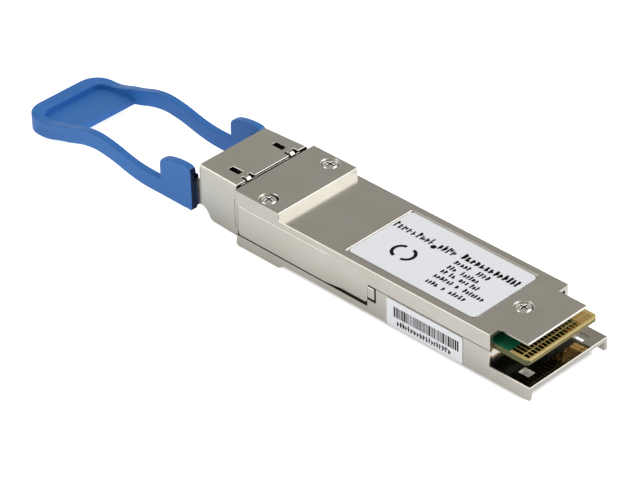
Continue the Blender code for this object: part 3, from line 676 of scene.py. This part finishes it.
def add_word(shape, start, size, length, weight, chance, plane):
    """A run of upright strokes and short bars at uneven heights, as plain filler in place of print."""
    across, up = start
    reach = across + length
    low, high, axis = plane
    while across < reach - size * 0.3:
        stroke = size * weight * chance.uniform(0.9, 1.1)
        tall = size * chance.choice((0.7, 0.76, 0.9, 1.0))
        wide = min(size * chance.choice((0.36, 0.42, 0.48)), reach - across)
        add_plate(shape, rectangle((across, across + stroke), (up, up + tall)), low, high, axis)
        for _ in range(chance.choice((1, 2, 2))):
            bar = up + (tall - stroke) * chance.uniform(0.12, 0.9)
            ends = (across + stroke, across + stroke + (wide - stroke) * chance.uniform(0.5, 1.0))
            add_plate(shape, rectangle(ends, (bar, bar + stroke * 0.85)), low, high, axis)
        if chance.random() < 0.6:
            foot = up + tall * chance.uniform(0.0, 0.5)
            ends = (across + wide - stroke * 0.9, across + wide)
            rise = tall * chance.uniform(0.35, 0.5)
            add_plate(shape, rectangle(ends, (foot, foot + rise)), low, high, axis)
        across += wide + size * chance.uniform(0.1, 0.16)


def add_band(shape, centre, radii, sweep, plane, steps=24):
    """A piece of a flat ring between two angles in degrees."""
    def edge(radius, first, last):
        points = []
        for step in range(steps + 1):
            angle = math.radians(first + (last - first) * step / steps)
            points.append((centre[0] + radius * math.cos(angle), centre[1] + radius * math.sin(angle)))
        return points
    outline = edge(radii[1], *sweep) + edge(radii[0], *reversed(sweep))
    add_plate(shape, outline, *plane)


# Lines of print on the top label: the side place, the height, the stroke's share of it, and each word's ends.
TOP_PRINT = (
    (2.5, 1.7, 0.19, ((-9.4, -1.15), (0.2, 3.6))),
    (3.0, 1.65, 0.27, ((4.8, 16.5),)),
    (1.2, 1.2, 0.27, ((4.95, 8.1), (8.75, 9.05), (9.6, 12.3))),
    (-0.5, 1.15, 0.27, ((4.95, 7.1), (7.8, 11.3))),
    (-1.95, 1.15, 0.27, ((4.95, 6.1), (6.7, 8.2), (8.8, 10.5), (11.1, 12.7))),
    (-3.6, 1.15, 0.27, ((4.95, 8.8), (9.5, 10.5), (11.1, 15.4))),
    (-5.45, 1.15, 0.27, ((4.95, 7.6), (8.3, 9.1), (9.8, 13.0))),
)


def make_top_label():
    soften_node("top_label", "label stock", 0.03, 1)
    chance = random.Random(11)
    ink = bmesh.new()
    plane = (LABEL_TOP - INK_BITE, LABEL_TOP + INK_THICKNESS, "Z")
    for up, size, weight, words in TOP_PRINT:
        for start, end in words:
            add_word(ink, (start, up), size, end - start, weight, chance, plane)
    add_plate(ink, circle((-0.45, 2.45), 0.52), *plane)
    ring_y, ring_radii = -1.95, (1.27, 1.87)
    add_band(ink, (-3.3, ring_y), ring_radii, (98, 262), plane)
    add_band(ink, (-2.3, ring_y), ring_radii, (-82, 82), plane)
    add_piece("top_label_print", ink, "black ink")


def make_side_label():
    soften_node("side_label", "label stock", 0.02, 1)
    chance = random.Random(5)
    ink = bmesh.new()
    plane = (SIDE_LABEL_FACE - INK_THICKNESS, SIDE_LABEL_FACE + INK_BITE, "Y")
    along, last = 1.9, 15.4
    while along < last:
        wide = chance.choice((0.12, 0.12, 0.2, 0.2, 0.3))
        add_plate(ink, rectangle((along, along + wide), (2.2, 4.16)), *plane)
        along += wide + chance.choice((0.1, 0.1, 0.16, 0.24))
    add_word(ink, (2.6, 0.75), 1.1, 11.6, 0.19, chance, plane)
    add_piece("side_label_print", ink, "black ink")


# ---------------------------------------------------------------- the inside


def make_inside():
    soften_node("lc_receptacle", "black plastic", 0.1)
    soften_node("optics_clamp", "stainless steel", 0.04, 1)
    for kind in ("transmitter", "receiver"):
        soften_node(f"{kind}_optics_box", "gold plate", 0.12)
        soften_node(f"{kind}_barrel", "stainless steel", 0.05, sharper_than=60.0)
        soften_node(f"{kind}_ferrule_sleeve", "white ceramic", 0.03, 1, sharper_than=60.0)
        soften_node(f"{kind}_flex", "amber film", 0.01, 1, sharper_than=60.0)
    for node in ("retimer_chip", "laser_driver_chip", "receiver_amplifier_chip", "microcontroller_chip"):
        soften_node(node, "chip package", 0.06)
    soften_node("power_inductor", "grey ferrite", 0.15)
    for node in ("retimer_thermal_pad", "optics_thermal_pad"):
        soften_node(node, "thermal pad", 0.06)
    for label in ("left", "right"):
        soften_node(f"gasket_{label}", "conductive rubber", 0.02, 1, sharper_than=60.0)


# ---------------------------------------------------------------- camera, floor and lights


def make_camera():
    """The camera stands right, up and back of its aim point, on a long lens."""
    lens = bpy.data.cameras.new("camera")
    lens.sensor_width = 36.0
    lens.lens = 178.37
    lens.clip_start = 0.01
    lens.clip_end = 20.0
    camera = bpy.data.objects.new("camera", lens)
    bpy.context.scene.collection.objects.link(camera)
    right = Vector((0.7133, 0.7006, -0.0205))
    up = Vector((-0.3852, 0.4162, 0.8236))
    back = Vector((0.5855, -0.5796, 0.5668))
    turn = Matrix((right, up, back)).transposed().to_4x4()
    turn.translation = Vector((281.18, -301.62, 295.15)) * MM
    camera.matrix_world = turn
    bpy.context.scene.camera = camera


def distance_outside(tree, x, half_width):
    """How far a place on the floor is outside a rectangle about the middle line, in metres."""
    place = add_node(tree, "ShaderNodeSeparateXYZ", {0: place_on_object(tree)}).outputs
    aside = calculate(tree, "SUBTRACT", calculate(tree, "ABSOLUTE", place["Y"]), half_width * MM)
    past_front = calculate(tree, "SUBTRACT", x[0] * MM, place["X"])
    past_rear = calculate(tree, "SUBTRACT", place["X"], x[1] * MM)
    return calculate(tree, "MAXIMUM", aside, calculate(tree, "MAXIMUM", past_front, past_rear))


def make_floor():
    """A pale floor that glows to light the object softly. Its glow holds painted shadow: weaker close to the
    object, and off under it where the camera sees the floor.
    """
    shape = bmesh.new()
    reach, thickness = 3000.0, 20.0
    height = CAD_BOX[0][2] / MM - 0.02
    add_plate(shape, rectangle((-reach, reach), (-reach, reach)), height - thickness, height)
    mesh = bpy.data.meshes.new("floor")
    shape.to_mesh(mesh)
    shape.free()
    floor = bpy.data.objects.new("floor", mesh)
    bpy.context.scene.collection.objects.link(floor)
    made, tree, shader = start_material("pale floor")
    drift = noise(tree, place_on_object(tree), 400.0)
    wire(tree, blend_colors(tree, drift, (0.84, 0.84, 0.84), (0.86, 0.86, 0.86)), shader.inputs["Base Color"])
    shader.inputs["Roughness"].default_value = 0.8
    shader.inputs["Emission Color"].default_value = (1.0, 1.0, 1.0, 1.0)
    seen = tree.nodes.new("ShaderNodeLightPath").outputs["Is Camera Ray"]
    wide_shadow = distance_outside(tree, (-44.0, 30.0), 9.2)
    tight_shadow = distance_outside(tree, (-34.0, 27.5), 7.5)
    reflected = spread(tree, wide_shadow, 0.0, 6.0 * MM, 0.12, 0.36)
    direct = spread(tree, tight_shadow, 0.0, 1.2 * MM, 0.0, 0.8)
    glow = add_node(tree, "ShaderNodeMix", {0: seen, 2: reflected, 3: direct}).outputs[0]
    wire(tree, glow, shader.inputs["Emission Strength"])
    mesh.materials.append(made)


def add_softbox(name, place, size, power, color=(1.0, 1.0, 1.0)):
    """A rectangular light that faces the object."""
    light = bpy.data.lights.new(name, "AREA")
    light.shape = "RECTANGLE"
    light.size, light.size_y = size
    light.energy = power
    light.color = color
    lamp = bpy.data.objects.new(name, light)
    lamp.location = place
    lamp.rotation_euler = (-Vector(place)).to_track_quat("-Z", "Y").to_euler()
    bpy.context.scene.collection.objects.link(lamp)


def make_world():
    """A dim studio with a bright band round the horizon."""
    world = bpy.data.worlds.new("studio")
    bpy.context.scene.world = world
    world.use_nodes = True
    tree = world.node_tree
    direction = tree.nodes.new("ShaderNodeTexCoord").outputs["Generated"]
    height = add_node(tree, "ShaderNodeSeparateXYZ", {0: direction}).outputs[2]
    amount = spread(tree, height, 0.12, 0.3)
    color = blend_colors(tree, amount, (0.85, 0.84, 0.82), (0.435, 0.42, 0.39))
    wire(tree, color, tree.nodes["Background"].inputs["Color"])
    tree.nodes["Background"].inputs["Strength"].default_value = 1.0


def make_studio():
    make_camera()
    make_floor()
    make_world()
    add_softbox("main light", (0.76, 0.75, 0.74), (1.4, 1.4), 12.3, (0.95, 0.97, 1.0))
    add_softbox("edge light", (-0.76, -0.74, 0.75), (1.0, 0.8), 3.4)
    bpy.context.scene.view_settings.view_transform = "Standard"


make_bottom_housing()
make_top_cover()
make_latch_slider()
for screw in ("head_screw_left", "head_screw_right", "tail_screw"):
    make_screw(screw)
make_return_spring("left", 1)
make_return_spring("right", -1)
make_pull_tab()
make_circuit_board()
make_top_label()
make_side_label()
make_inside()
make_studio()
